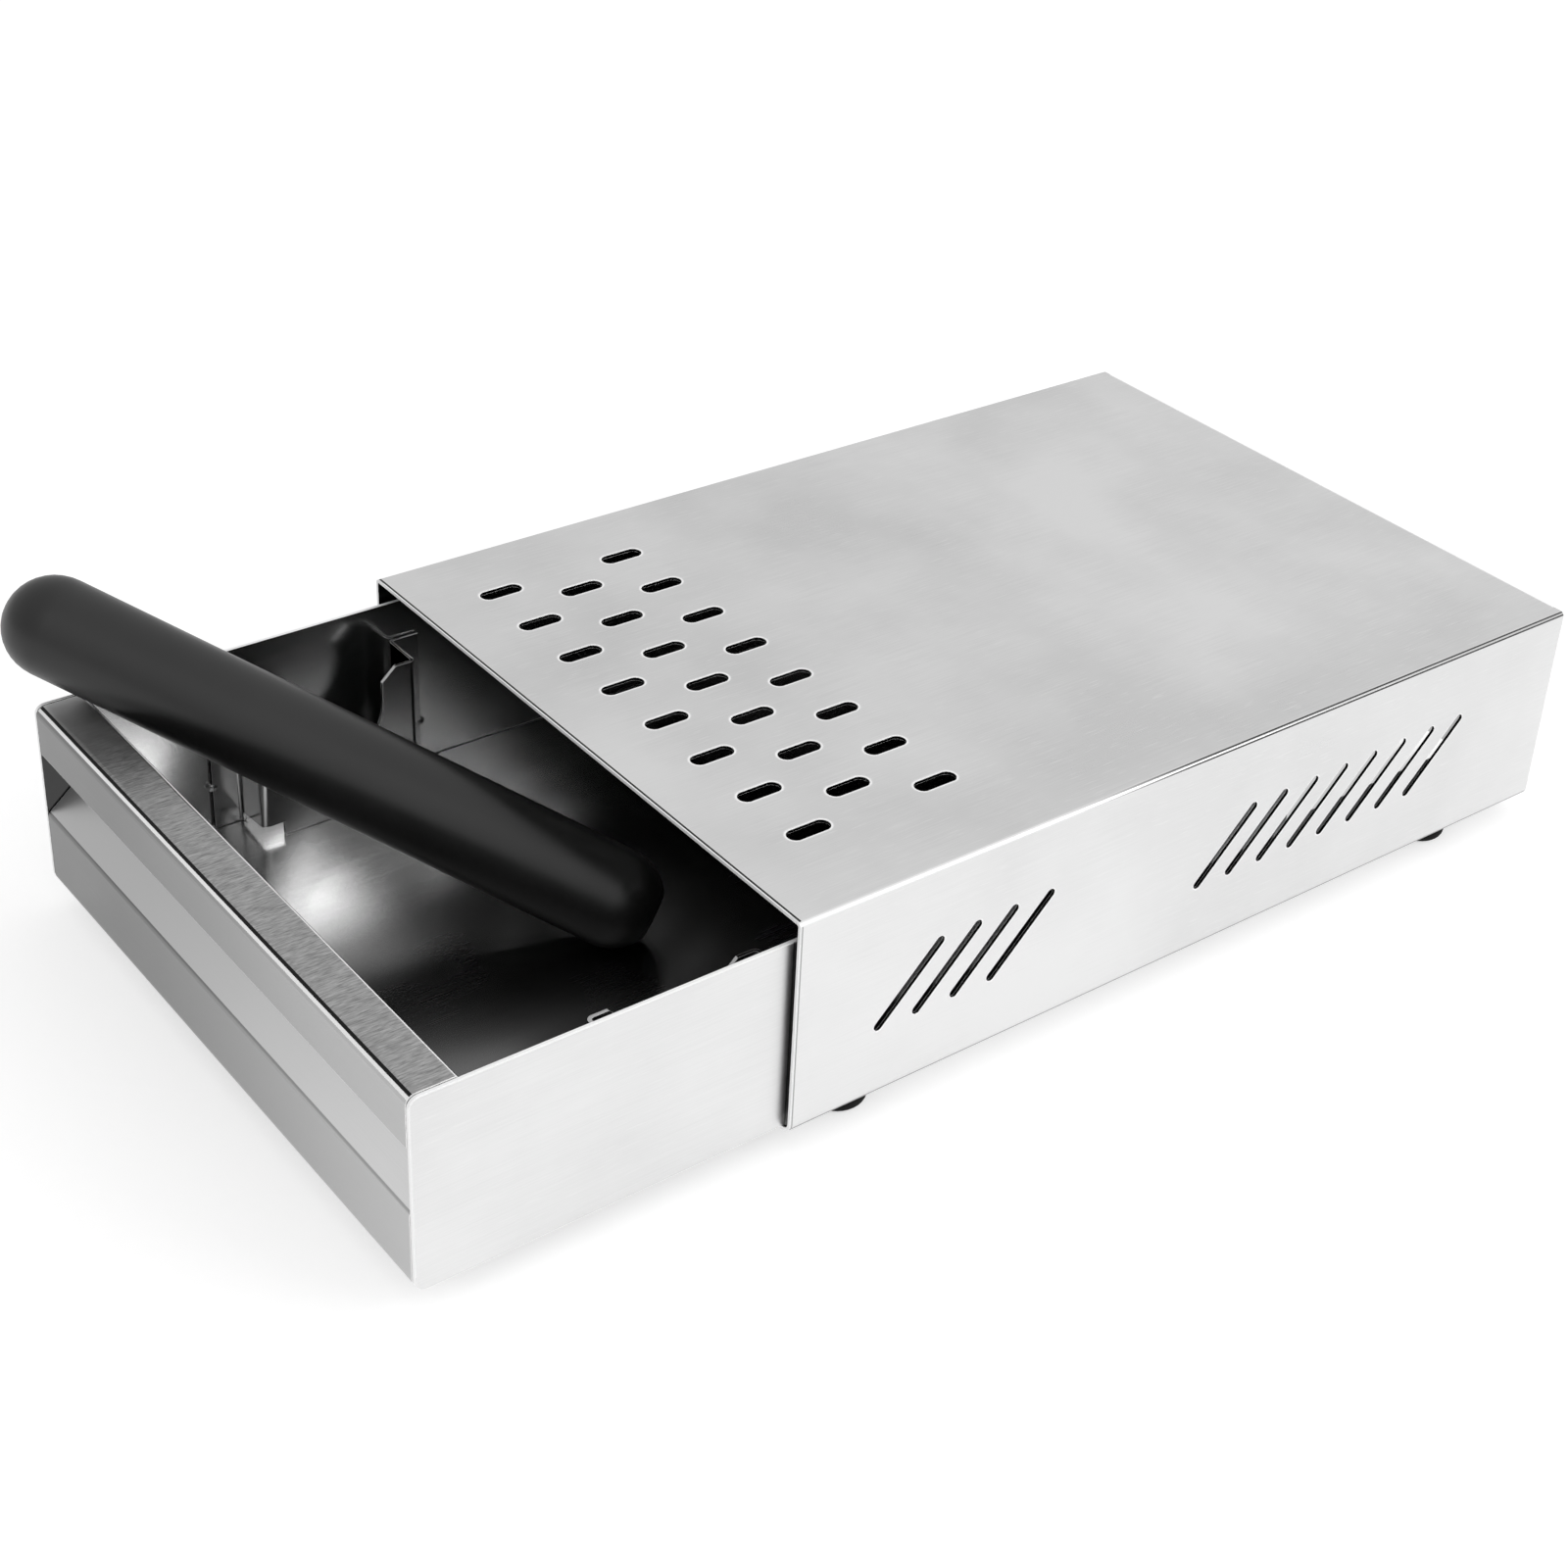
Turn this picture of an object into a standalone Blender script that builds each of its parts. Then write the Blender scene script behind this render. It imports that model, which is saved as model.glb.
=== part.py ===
"""Coffee knock drawer: a slotted steel housing, a sheet steel drawer and a rubber knock bar.

X runs across the front, Y from front to back and Z up, all in metres. While the pieces are
made, Y is zero at the housing's mouth, X is zero on its middle and Z is zero on the bench.
The last step moves the whole model, so that the middle of its footprint is on the origin.
"""

import math

import bmesh
import bpy
from mathutils import Matrix, Vector

# Sheet steel and the room between pieces
SHEET = 0.001
GAP = 0.0003
OVERRUN = 0.004

# Housing, one sheet folded round the top, both sides and two flanges underneath
HOUSING_WIDTH = 0.200
HOUSING_DEPTH = 0.280
HOUSING_TOP = 0.070
HOUSING_TOP_BEND = 0.0015
HOUSING_BOTTOM_BEND = 0.003
FLANGE_REACH = 0.030
REAR_LIP = 0.012
REAR_BEND = 0.0025

# Slots in the top, in three columns across the housing
TOP_SLOT_LENGTH = 0.0128
TOP_SLOT_WIDTH = 0.0049
TOP_SLOT_FROM_LEFT = 0.0255
TOP_SLOT_FROM_RIGHT = 0.03072
TOP_SLOT_FROM_MOUTH = 0.0255
TOP_SLOT_COLUMN_PITCH = 0.0203
TOP_SLOT_COLUMNS = 3
TOP_SLOTS_IN_LONG_COLUMN = 8

# Leaning slots in the sides, a short group by the mouth and a long one at the back
SIDE_SLOT_ABOVE_FLANGE = 0.0215
SIDE_SLOT_RISE = 0.0206
SIDE_SLOT_LEAN = 0.0202
SIDE_SLOT_WIDTH = 0.0027
FRONT_GROUP_PITCH = 0.0122
REAR_GROUP_PITCH = 0.012
FRONT_GROUP_FROM_MOUTH = 0.0254
REAR_GROUP_FROM_BACK = 0.0401
SLOTS_IN_FRONT_GROUP = 4
SLOTS_IN_REAR_GROUP = 8

# Feet, each a rubber foot on a washer and a screw
FOOT_HEIGHT = 0.006
FOOT_DIAMETER = 0.016
FOOT_ROUNDING = 0.0022
FOOT_FROM_SIDE = 0.0117
FOOT_FROM_MOUTH = 0.0238
FOOT_FROM_BACK = 0.035
FOOT_RECESS_DIAMETER = 0.0096
FOOT_RECESS_DEPTH = 0.0034
WASHER_DIAMETER = 0.0088
WASHER_THICKNESS = 0.0008
SCREW_DIAMETER = 0.0036
SCREW_HEAD_DIAMETER = 0.0068
SCREW_HEAD_HEIGHT = 0.0014
SCREW_DRIVE_DIAMETER = 0.003
SCREW_DRIVE_DEPTH = 0.0008

# Drawer, a folded front, a base with the back, and two side plates
DRAWER_SIDE_PLAY = 0.001875
DRAWER_TOP_PLAY = 0.0059
DRAWER_REAR_PLAY = 0.003
DRAWER_PULLED = 0.103
DRAWER_TOP_CORNER = 0.0028
DRAWER_BOTTOM_CORNER = 0.0034
STRIP_WIDTH = 0.0137
STRIP_REAR_BEND = 0.0015
STRIP_WALL_BEND = 0.0015
LIP_HEIGHT = 0.0145
SLOPE_TOP_DROP = 0.0223
CREASE_DROP = 0.0336
CREASE_BEND = 0.002
FRONT_FLANGE = 0.012
BACK_BEND = 0.0025

# Cradles, a hat-shaped bracket on each side plate with a notch for the bar
CRADLE_BELOW_RIM = 0.0115
CRADLE_STANDOFF = 0.0145
CRADLE_FACE_FROM_FRONT = 0.055
CRADLE_FACE_LENGTH = 0.0496
CRADLE_WALL_FLANGE = 0.0087
CRADLE_BEND = 0.0018
NOTCH_FROM_FRONT = 0.0797
NOTCH_RADIUS = 0.0141
NOTCH_CENTRE_DEPTH = 0.0108
NOTCH_FLARE_DEPTH = 0.0041
NOTCH_TOP_HALF_WIDTH = 0.0185
RELIEF_HEIGHT = 0.0044
RELIEF_WALL_HEIGHT = 0.0026
RELIEF_LENGTH = 0.0066
RELIEF_FROM_WALL = 0.0022

# Knock bar, a rubber sleeve with domed ends on a steel core
BAR_DIAMETER = 0.0275
BAR_LENGTH = 0.189
CORE_DIAMETER = 0.012
CORE_COVER = 0.010
CORE_SETBACK = 0.0024
BAR_FOOT_FROM_MIDDLE = 0.0105
BAR_FOOT_FROM_MOUTH = 0.0072

# Fineness of the round shapes
BEND_STEPS = 5
SLOT_SIDES = 16
NOTCH_STEPS = 20
DOME_STEPS = 10
FOOT_TURNS = 32
SCREW_TURNS = 24
BAR_TURNS = 48
MERGE = 0.00002

# Places that follow from the sizes
HALF_SHEET = SHEET / 2
FLANGE_TOP = FOOT_HEIGHT + SHEET
DRAWER_BOTTOM = FLANGE_TOP + GAP
DRAWER_TOP = HOUSING_TOP - SHEET - DRAWER_TOP_PLAY
DRAWER_DEPTH = HOUSING_DEPTH - SHEET - DRAWER_REAR_PLAY
DRAWER_HALF_WIDTH = HOUSING_WIDTH / 2 - SHEET - DRAWER_SIDE_PLAY
INNER_HALF_WIDTH = DRAWER_HALF_WIDTH - SHEET
FLOOR_TOP = DRAWER_BOTTOM + SHEET
CRADLE_TOP = DRAWER_TOP - CRADLE_BELOW_RIM
BAR_RADIUS = BAR_DIAMETER / 2
CORE_BORE_RADIUS = CORE_DIAMETER / 2 + GAP

# Turns that lay a profile drawn in local X and Y into another plane
ACROSS = (math.pi / 2, 0, 0)
LENGTHWISE = (math.pi / 2, 0, math.pi / 2)

MATERIALS = {
    "brushed_stainless_steel": ((0.62, 0.62, 0.61, 1), 0.32, 1.0),
    "polished_stainless_steel": ((0.55, 0.55, 0.55, 1), 0.16, 1.0),
    "satin_black_rubber": ((0.012, 0.012, 0.013, 1), 0.5, 0.0),
    "black_rubber_feet": ((0.02, 0.02, 0.02, 1), 0.75, 0.0),
    "zinc_plated_steel": ((0.5, 0.51, 0.53, 1), 0.35, 1.0),
}


def clear_scene():
    for obj in list(bpy.data.objects):
        bpy.data.objects.remove(obj, do_unlink=True)


def new_collection(name, hidden=False):
    collection = bpy.data.collections.new(name)
    collection.hide_render = hidden
    bpy.context.scene.collection.children.link(collection)
    return collection


def new_material(piece, kind):
    """A material of the piece's own, in one of the kinds above."""
    colour, roughness, metallic = MATERIALS[kind]
    material = bpy.data.materials.new(f"{piece}_{kind}")
    material.use_nodes = True
    shader = material.node_tree.nodes["Principled BSDF"]
    shader.inputs["Base Color"].default_value = colour
    shader.inputs["Roughness"].default_value = roughness
    shader.inputs["Metallic"].default_value = metallic
    return material


def add_object(name, mesh, parent, collection, location=(0, 0, 0), rotation=(0, 0, 0)):
    obj = bpy.data.objects.new(name, mesh)
    collection.objects.link(obj)
    obj.parent = parent
    obj.location = location
    obj.rotation_euler = rotation
    return obj


def add_empty(name, parent, collection, location=(0, 0, 0)):
    empty = add_object(name, None, parent, collection, location)
    empty.empty_display_size = HOUSING_TOP
    return empty


def add_piece(name, mesh, kind, parent, collection, location=(0, 0, 0), rotation=(0, 0, 0)):
    piece = add_object(name, mesh, parent, collection, location, rotation)
    piece.data.materials.append(new_material(name, kind))
    return piece


def bent_path(corners, radii, closed=False):
    """The corners of a flat path, each one rounded by an arc of its radius (zero keeps it)."""
    points = []
    count = len(corners)
    for index, (corner, radius) in enumerate(zip(corners, radii)):
        corner = Vector(corner)
        if not radius or (not closed and index in (0, count - 1)):
            points.append(tuple(corner))
            continue
        before = (Vector(corners[index - 1]) - corner).normalized()
        after = (Vector(corners[(index + 1) % count]) - corner).normalized()
        half = before.angle(after) / 2
        centre = corner + (before + after).normalized() * (radius / math.sin(half))
        first = corner + before * (radius / math.tan(half)) - centre
        turn = first.angle_signed(corner + after * (radius / math.tan(half)) - centre)
        for step in range(BEND_STEPS + 1):
            angle = -turn * step / BEND_STEPS
            points.append(tuple(centre + Matrix.Rotation(angle, 2) @ first))
    return points


def sheet_mesh(name, path, start, end):
    """An open sheet: the path in local X and Y, run from start to end along local Z."""
    mesh = bpy.data.meshes.new(name)
    bm = bmesh.new()
    verts = [bm.verts.new((x, y, start)) for x, y in path]
    edges = [bm.edges.new(pair) for pair in zip(verts, verts[1:])]
    run = bmesh.ops.extrude_edge_only(bm, edges=edges)["geom"]
    moved = [item for item in run if isinstance(item, bmesh.types.BMVert)]
    bmesh.ops.translate(bm, verts=moved, vec=(0, 0, end - start))
    bmesh.ops.recalc_face_normals(bm, faces=bm.faces)
    bm.to_mesh(mesh)
    bm.free()
    return mesh


def thicken(obj):
    solidify = obj.modifiers.new("sheet_thickness", "SOLIDIFY")
    solidify.thickness = SHEET
    solidify.offset = 0
    solidify.use_even_offset = True


def soften(obj):
    """Smooth shading over the bends, with the folded sheet's edges kept sharp."""
    obj.data.shade_smooth()
    obj.data.set_sharp_from_angle(angle=math.radians(35))


def outline_mesh(name, outline, thickness):
    """A flat outline in local X and Y made into a plate, its thickness halved by the plane."""
    curve = bpy.data.curves.new(name, "CURVE")
    curve.dimensions = "2D"
    curve.fill_mode = "BOTH"
    curve.extrude = thickness / 2
    spline = curve.splines.new("POLY")
    spline.points.add(len(outline) - 1)
    for point, (x, y) in zip(spline.points, outline):
        point.co = (x, y, 0, 1)
    spline.use_cyclic_u = True
    source = bpy.data.objects.new(name, curve)
    bpy.context.scene.collection.objects.link(source)
    graph = bpy.context.evaluated_depsgraph_get()
    mesh = bpy.data.meshes.new_from_object(source.evaluated_get(graph))
    bpy.data.objects.remove(source)
    bpy.data.curves.remove(curve)
    bm = bmesh.new()
    bm.from_mesh(mesh)
    bmesh.ops.remove_doubles(bm, verts=bm.verts, dist=MERGE)
    bmesh.ops.recalc_face_normals(bm, faces=bm.faces)
    bm.to_mesh(mesh)
    bm.free()
    mesh.name = name
    return mesh


def turned_mesh(name, profile, closed):
    """A profile at local +X, its points running down the outer side, for a Screw modifier."""
    mesh = bpy.data.meshes.new(name)
    bm = bmesh.new()
    verts = [bm.verts.new((radius, 0, height)) for radius, height in profile]
    pairs = list(zip(verts, verts[1:]))
    if closed:
        pairs.append((verts[-1], verts[0]))
    for pair in pairs:
        bm.edges.new(pair)
    bm.to_mesh(mesh)
    bm.free()
    return mesh


def spin(obj, turns):
    screw = obj.modifiers.new("turning", "SCREW")
    screw.steps = turns
    screw.render_steps = turns
    screw.use_merge_vertices = True
    screw.merge_threshold = MERGE
    screw.use_smooth_shade = True
    split = obj.modifiers.new("sharp_rims", "EDGE_SPLIT")
    split.split_angle = math.radians(40)
    split.use_edge_sharp = False


def arc(centre, radius, start, end, steps):
    """Points of an arc from one angle to another, in degrees."""
    points = []
    for step in range(steps + 1):
        angle = math.radians(start + (end - start) * step / steps)
        points.append((centre[0] + radius * math.cos(angle), centre[1] + radius * math.sin(angle)))
    return points


def add_slot(bm, length, width, height, place):
    """A prism with round ends, long in its local Y, put in its place by a matrix."""
    half_step = math.pi / SLOT_SIDES
    radius = width / 2 / math.cos(half_step)
    made = bmesh.ops.create_cone(
        bm,
        cap_ends=True,
        segments=SLOT_SIDES,
        radius1=radius,
        radius2=radius,
        depth=height,
        matrix=Matrix.Rotation(half_step, 4, "Z"),
    )
    for vert in made["verts"]:
        vert.co.y += math.copysign((length - width) / 2, vert.co.y)
    bmesh.ops.transform(bm, matrix=place, verts=made["verts"])


def cut(piece, name, bm_or_mesh, cutters, location=(0, 0, 0), rotation=(0, 0, 0)):
    """Cuts a closed shape, drawn in the frame of the piece's parent, out of the piece."""
    mesh = bm_or_mesh
    if isinstance(bm_or_mesh, bmesh.types.BMesh):
        mesh = bpy.data.meshes.new(name)
        bm_or_mesh.to_mesh(mesh)
        bm_or_mesh.free()
    cutter = add_object(name, mesh, piece.parent, cutters, location, rotation)
    cutter.display_type = "WIRE"
    cutter.hide_render = True
    boolean = piece.modifiers.new(name, "BOOLEAN")
    boolean.operation = "DIFFERENCE"
    boolean.solver = "EXACT"
    boolean.object = cutter


def foot_places():
    """The name and place of each foot, under the housing's two flanges."""
    across = HOUSING_WIDTH / 2 - FOOT_FROM_SIDE
    for row, along in (("front", FOOT_FROM_MOUTH), ("rear", HOUSING_DEPTH - FOOT_FROM_BACK)):
        for side, sign in (("left", -1), ("right", 1)):
            yield f"{row}_{side}", (sign * across, along, 0)


def top_slot_cutter():
    """Two long columns of slots with a column one slot shorter between them, half a pitch in."""
    bm = bmesh.new()
    height = 2 * OVERRUN
    left = TOP_SLOT_FROM_LEFT - HOUSING_WIDTH / 2
    right = HOUSING_WIDTH / 2 - TOP_SLOT_FROM_RIGHT
    pitch = (right - left) / (TOP_SLOTS_IN_LONG_COLUMN - 1)
    for column in range(TOP_SLOT_COLUMNS):
        inset = column % 2
        for slot in range(TOP_SLOTS_IN_LONG_COLUMN - inset):
            x = left + (slot + inset / 2) * pitch
            y = TOP_SLOT_FROM_MOUTH + column * TOP_SLOT_COLUMN_PITCH
            place = Matrix.Translation((x, y, HOUSING_TOP))
            add_slot(bm, TOP_SLOT_LENGTH, TOP_SLOT_WIDTH, height, place)
    return bm


def side_slot_cutter():
    """Leaning slots, each one cut through both sides of the housing."""
    bm = bmesh.new()
    length = math.hypot(SIDE_SLOT_LEAN, SIDE_SLOT_RISE)
    lean = math.atan2(SIDE_SLOT_RISE, SIDE_SLOT_LEAN)
    height = HOUSING_WIDTH + 2 * OVERRUN
    upright = Matrix.Rotation(lean, 4, "X") @ Matrix.Rotation(math.pi / 2, 4, "Y")
    front_middle = FRONT_GROUP_FROM_MOUTH + SIDE_SLOT_LEAN / 2
    rear_run = (SLOTS_IN_REAR_GROUP - 1) * REAR_GROUP_PITCH
    rear_middle = HOUSING_DEPTH - REAR_GROUP_FROM_BACK - SIDE_SLOT_LEAN / 2 - rear_run
    groups = (
        (front_middle, FRONT_GROUP_PITCH, SLOTS_IN_FRONT_GROUP),
        (rear_middle, REAR_GROUP_PITCH, SLOTS_IN_REAR_GROUP),
    )
    z = FOOT_HEIGHT + SIDE_SLOT_ABOVE_FLANGE + SIDE_SLOT_RISE / 2
    for middle, pitch, count in groups:
        for slot in range(count):
            y = middle + slot * pitch
            place = Matrix.Translation((0, y, z)) @ upright
            add_slot(bm, length, SIDE_SLOT_WIDTH, height, place)
    return bm


def screw_hole_cutter():
    bm = bmesh.new()
    radius = SCREW_DIAMETER / 2 + GAP
    for _, (x, y, _) in foot_places():
        bmesh.ops.create_cone(
            bm,
            cap_ends=True,
            segments=SLOT_SIDES,
            radius1=radius,
            radius2=radius,
            depth=2 * OVERRUN,
            matrix=Matrix.Translation((x, y, FOOT_HEIGHT)),
        )
    return bm


def make_housing(root, parts, cutters):
    half = HOUSING_WIDTH / 2 - HALF_SHEET
    flange_end = HOUSING_WIDTH / 2 - FLANGE_REACH
    low = FOOT_HEIGHT + HALF_SHEET
    high = HOUSING_TOP - HALF_SHEET
    corners = [(-flange_end, low), (-half, low), (-half, high), (half, high), (half, low), (flange_end, low)]
    top_bend = HOUSING_TOP_BEND - HALF_SHEET
    bottom_bend = HOUSING_BOTTOM_BEND - HALF_SHEET
    path = bent_path(corners, [0, bottom_bend, top_bend, top_bend, bottom_bend, 0])
    mesh = sheet_mesh("housing_shell", path, -HOUSING_DEPTH, 0)
    shell = add_piece("housing_shell", mesh, "brushed_stainless_steel", root, parts, rotation=ACROSS)
    thicken(shell)
    soften(shell)
    cut(shell, "top_slot_cutter", top_slot_cutter(), cutters)
    cut(shell, "side_slot_cutter", side_slot_cutter(), cutters)
    cut(shell, "screw_hole_cutter", screw_hole_cutter(), cutters)
    weld = shell.modifiers.new("cut_edges", "WELD")
    weld.merge_threshold = MERGE


def make_rear_panel(root, parts):
    """The back, set inside the folded sheet, with a lip that runs forward under the top."""
    back = HOUSING_DEPTH - HALF_SHEET
    low = FOOT_HEIGHT + HOUSING_BOTTOM_BEND + GAP
    high = HOUSING_TOP - SHEET - GAP - HALF_SHEET
    corners = [(back, low), (back, high), (HOUSING_DEPTH - REAR_LIP, high)]
    path = bent_path(corners, [0, REAR_BEND - HALF_SHEET, 0])
    half = HOUSING_WIDTH / 2 - SHEET - GAP
    mesh = sheet_mesh("rear_panel", path, -half, half)
    panel = add_piece("rear_panel", mesh, "brushed_stainless_steel", root, parts, rotation=LENGTHWISE)
    thicken(panel)
    soften(panel)


def make_feet(root, parts):
    """Each foot is turned round a recess for its washer and screw."""
    radius = FOOT_DIAMETER / 2
    top = FOOT_HEIGHT - GAP
    hole = SCREW_DIAMETER / 2 + GAP
    recess = FOOT_RECESS_DIAMETER / 2
    rounding = arc((radius - FOOT_ROUNDING, FOOT_ROUNDING), FOOT_ROUNDING, 0, -90, BEND_STEPS)
    foot_profile = [(hole, top), (radius, top), *rounding]
    foot_profile += [(recess, 0), (recess, FOOT_RECESS_DEPTH), (hole, FOOT_RECESS_DEPTH)]
    washer_top = FOOT_RECESS_DEPTH - GAP
    washer_bottom = washer_top - WASHER_THICKNESS
    washer = WASHER_DIAMETER / 2
    washer_profile = [(hole, washer_top), (washer, washer_top)]
    washer_profile += [(washer, washer_bottom), (hole, washer_bottom)]
    head_top = washer_bottom - GAP
    head_bottom = head_top - SCREW_HEAD_HEIGHT
    shank = SCREW_DIAMETER / 2
    head = SCREW_HEAD_DIAMETER / 2
    drive = SCREW_DRIVE_DIAMETER / 2
    screw_profile = [(0, FLANGE_TOP), (shank, FLANGE_TOP), (shank, head_top), (head, head_top)]
    screw_profile += [(head, head_bottom + SCREW_DRIVE_DEPTH), ((head + drive) / 2, head_bottom)]
    screw_profile += [(drive, head_bottom), (0, head_bottom + SCREW_DRIVE_DEPTH)]
    kinds = (
        ("foot", foot_profile, True, "black_rubber_feet", FOOT_TURNS),
        ("foot_washer", washer_profile, True, "zinc_plated_steel", FOOT_TURNS),
        ("foot_screw", screw_profile, False, "zinc_plated_steel", SCREW_TURNS),
    )
    for kind, profile, closed, material, turns in kinds:
        for where, place in foot_places():
            name = f"{kind}_{where}"
            mesh = turned_mesh(name, profile, closed)
            spin(add_piece(name, mesh, material, root, parts, place), turns)


def make_drawer_front(drawer, parts):
    """Lip, top strip, recess wall and slope, lower face and a floor flange, folded from one sheet."""
    face = HALF_SHEET
    wall = STRIP_WIDTH - HALF_SHEET
    low = DRAWER_BOTTOM + HALF_SHEET
    high = DRAWER_TOP - HALF_SHEET
    corners = [
        (face, DRAWER_TOP - LIP_HEIGHT),
        (face, high),
        (wall, high),
        (wall, DRAWER_TOP - SLOPE_TOP_DROP),
        (face, DRAWER_TOP - CREASE_DROP),
        (face, low),
        (FRONT_FLANGE, low),
    ]
    radii = [
        0,
        DRAWER_TOP_CORNER - HALF_SHEET,
        STRIP_REAR_BEND - HALF_SHEET,
        STRIP_WALL_BEND - HALF_SHEET,
        CREASE_BEND - HALF_SHEET,
        DRAWER_BOTTOM_CORNER - HALF_SHEET,
        0,
    ]
    half = INNER_HALF_WIDTH - GAP
    mesh = sheet_mesh("drawer_front", bent_path(corners, radii), -half, half)
    front = add_piece("drawer_front", mesh, "brushed_stainless_steel", drawer, parts, rotation=LENGTHWISE)
    thicken(front)
    soften(front)


def make_drawer_base(drawer, parts):
    """The floor and the back, folded from one sheet, butted to the front's flange."""
    low = DRAWER_BOTTOM + HALF_SHEET
    back = DRAWER_DEPTH - HALF_SHEET
    corners = [(FRONT_FLANGE + GAP, low), (back, low), (back, DRAWER_TOP)]
    path = bent_path(corners, [0, BACK_BEND - HALF_SHEET, 0])
    half = INNER_HALF_WIDTH - GAP
    mesh = sheet_mesh("drawer_base", path, -half, half)
    base = add_piece("drawer_base", mesh, "polished_stainless_steel", drawer, parts, rotation=LENGTHWISE)
    thicken(base)
    soften(base)


def make_drawer_sides(drawer, parts):
    corners = [
        (0, DRAWER_BOTTOM),
        (DRAWER_DEPTH, DRAWER_BOTTOM),
        (DRAWER_DEPTH, DRAWER_TOP),
        (0, DRAWER_TOP),
    ]
    radii = [DRAWER_BOTTOM_CORNER, BACK_BEND, BACK_BEND, DRAWER_TOP_CORNER]
    outline = bent_path(corners, radii, closed=True)
    for side, sign in (("left", -1), ("right", 1)):
        name = f"drawer_side_{side}"
        mesh = outline_mesh(name, outline, SHEET)
        place = (sign * (DRAWER_HALF_WIDTH - HALF_SHEET), 0, 0)
        add_piece(name, mesh, "brushed_stainless_steel", drawer, parts, place, LENGTHWISE)


def notch_outline():
    """A round-bottomed notch that opens wider at the cradle's top edge."""
    above = CRADLE_TOP + OVERRUN
    centre = (NOTCH_FROM_FRONT, CRADLE_TOP - NOTCH_CENTRE_DEPTH)
    bowl = arc(centre, NOTCH_RADIUS, -180, 0, NOTCH_STEPS)
    right = [
        (NOTCH_FROM_FRONT + NOTCH_RADIUS, CRADLE_TOP - NOTCH_FLARE_DEPTH),
        (NOTCH_FROM_FRONT + NOTCH_TOP_HALF_WIDTH, CRADLE_TOP),
        (NOTCH_FROM_FRONT + NOTCH_TOP_HALF_WIDTH, above),
    ]
    left = [(2 * NOTCH_FROM_FRONT - y, z) for y, z in reversed(right)]
    return bowl + right + left


def relief_cutter(sign, foot):
    """A wedge that lifts the cradle's front bend off the floor, higher at the face than at the wall."""
    wall = INNER_HALF_WIDTH - RELIEF_FROM_WALL
    inside = INNER_HALF_WIDTH - CRADLE_STANDOFF - OVERRUN
    front = CRADLE_FACE_FROM_FRONT - OVERRUN
    rear = CRADLE_FACE_FROM_FRONT + RELIEF_LENGTH
    bottom = foot - OVERRUN
    section = [
        (wall, bottom),
        (inside, bottom),
        (inside, foot + RELIEF_HEIGHT),
        (wall, foot + RELIEF_WALL_HEIGHT),
    ]
    bm = bmesh.new()
    ring = [bm.verts.new((sign * x, front, z)) for x, z in section]
    made = bmesh.ops.extrude_face_region(bm, geom=[bm.faces.new(ring)])["geom"]
    moved = [item for item in made if isinstance(item, bmesh.types.BMVert)]
    bmesh.ops.translate(bm, verts=moved, vec=(0, rear - front, 0))
    bmesh.ops.recalc_face_normals(bm, faces=bm.faces)
    return bm


def make_cradles(drawer, parts, cutters):
    wall = INNER_HALF_WIDTH - GAP - HALF_SHEET
    face = INNER_HALF_WIDTH - CRADLE_STANDOFF + HALF_SHEET
    front = CRADLE_FACE_FROM_FRONT + HALF_SHEET
    rear = CRADLE_FACE_FROM_FRONT + CRADLE_FACE_LENGTH - HALF_SHEET
    bend = CRADLE_BEND - HALF_SHEET
    foot = FLOOR_TOP + GAP
    for side, sign in (("left", -1), ("right", 1)):
        name = f"cradle_{side}"
        corners = [
            (sign * wall, front - CRADLE_WALL_FLANGE),
            (sign * wall, front),
            (sign * face, front),
            (sign * face, rear),
            (sign * wall, rear),
            (sign * wall, rear + CRADLE_WALL_FLANGE),
        ]
        path = bent_path(corners, [0, bend, bend, bend, bend, 0])
        mesh = sheet_mesh(name, path, foot, CRADLE_TOP)
        cradle = add_piece(name, mesh, "polished_stainless_steel", drawer, parts)
        thicken(cradle)
        soften(cradle)
        notch = outline_mesh(f"{name}_notch", notch_outline(), CRADLE_STANDOFF)
        cut(cradle, f"{name}_notch", notch, cutters, (sign * face, 0, 0), LENGTHWISE)
        relief = relief_cutter(sign, foot)
        cut(cradle, f"{name}_relief", relief, cutters)


def leaning_bar():
    """The centre and the upward direction of the bar as it leans in the open drawer.

    Its lower dome stands on the floor, and it leans on the left side plate's inner top edge
    and on the rear edge of the front's top strip, with the usual gap at all three.
    """
    reach = BAR_RADIUS + GAP
    low = Vector((BAR_FOOT_FROM_MIDDLE, DRAWER_PULLED + BAR_FOOT_FROM_MOUTH, FLOOR_TOP + reach))
    across = low.x + INNER_HALF_WIDTH
    along = low.y - STRIP_WIDTH
    rise = DRAWER_TOP - low.z
    pitch_across = math.atan2(rise, across) + math.asin(reach / math.hypot(across, rise))
    pitch_along = math.atan2(rise, along) + math.asin(reach / math.hypot(along, rise))
    direction = Vector((-1 / math.tan(pitch_across), -1 / math.tan(pitch_along), 1)).normalized()
    return low + direction * (BAR_LENGTH / 2 - BAR_RADIUS), direction


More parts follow.
